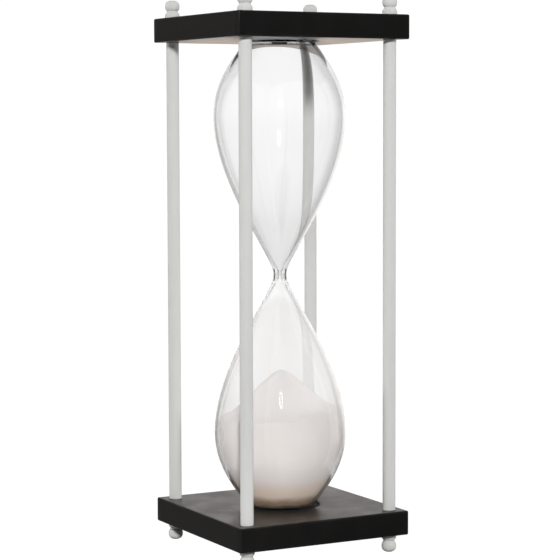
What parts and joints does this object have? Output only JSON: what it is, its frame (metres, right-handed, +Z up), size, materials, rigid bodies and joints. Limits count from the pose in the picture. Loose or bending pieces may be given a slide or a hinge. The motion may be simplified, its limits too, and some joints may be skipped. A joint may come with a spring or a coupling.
{
  "type": "hourglass",
  "caption": "Tall sand timer: blown double-bulb glass with pale sand, held between square black plates by white round posts with turned finials and feet.",
  "frame": {"origin": "centre of the square of the four foot tips, on the surface the hourglass stands on", "axes": "+Z up along the glass's axis; -Y is the front face and +X is to its right, each square to the plates' sides"},
  "size_m": [0.14, 0.14, 0.4089],
  "materials": {
    "black_paint": "satin black paint on wood",
    "white_paint": "satin white paint on turned wood",
    "stud_steel": "plain threaded steel",
    "seat_rubber": "matte",
    "clear_glass": "gloss, clear",
    "plug_rubber": "matte",
    "pale_sand": "fine loose pale sand"
  },
  "bodies": {
    "frame": {"bottom_plate": "black_paint", "top_plate": "black_paint", "post_front_left": "white_paint", "post_front_right": "white_paint", "post_back_left": "white_paint", "post_back_right": "white_paint", "foot_front_left": "white_paint", "foot_front_right": "white_paint", "foot_back_left": "white_paint", "foot_back_right": "white_paint", "finial_front_left": "white_paint", "finial_front_right": "white_paint", "finial_back_left": "white_paint", "finial_back_right": "white_paint", "lower_stud_front_left": "stud_steel", "lower_stud_front_right": "stud_steel", "lower_stud_back_left": "stud_steel", "lower_stud_back_right": "stud_steel", "upper_stud_front_left": "stud_steel", "upper_stud_front_right": "stud_steel", "upper_stud_back_left": "stud_steel", "upper_stud_back_right": "stud_steel", "bottom_seat": "seat_rubber", "top_seat": "seat_rubber"},
    "glass_unit": {"lower_bulb": "clear_glass", "neck": "clear_glass", "upper_bulb": "clear_glass", "fill_plug": "plug_rubber", "sand": "pale_sand"}
  },
  "joints": [
    {"name": "glass_turn", "type": "hinge", "parent": "frame", "child": "glass_unit", "pos_m": [0, 0, 0.20445], "axis": [0, 0, 1], "continuous": true}
  ]
}
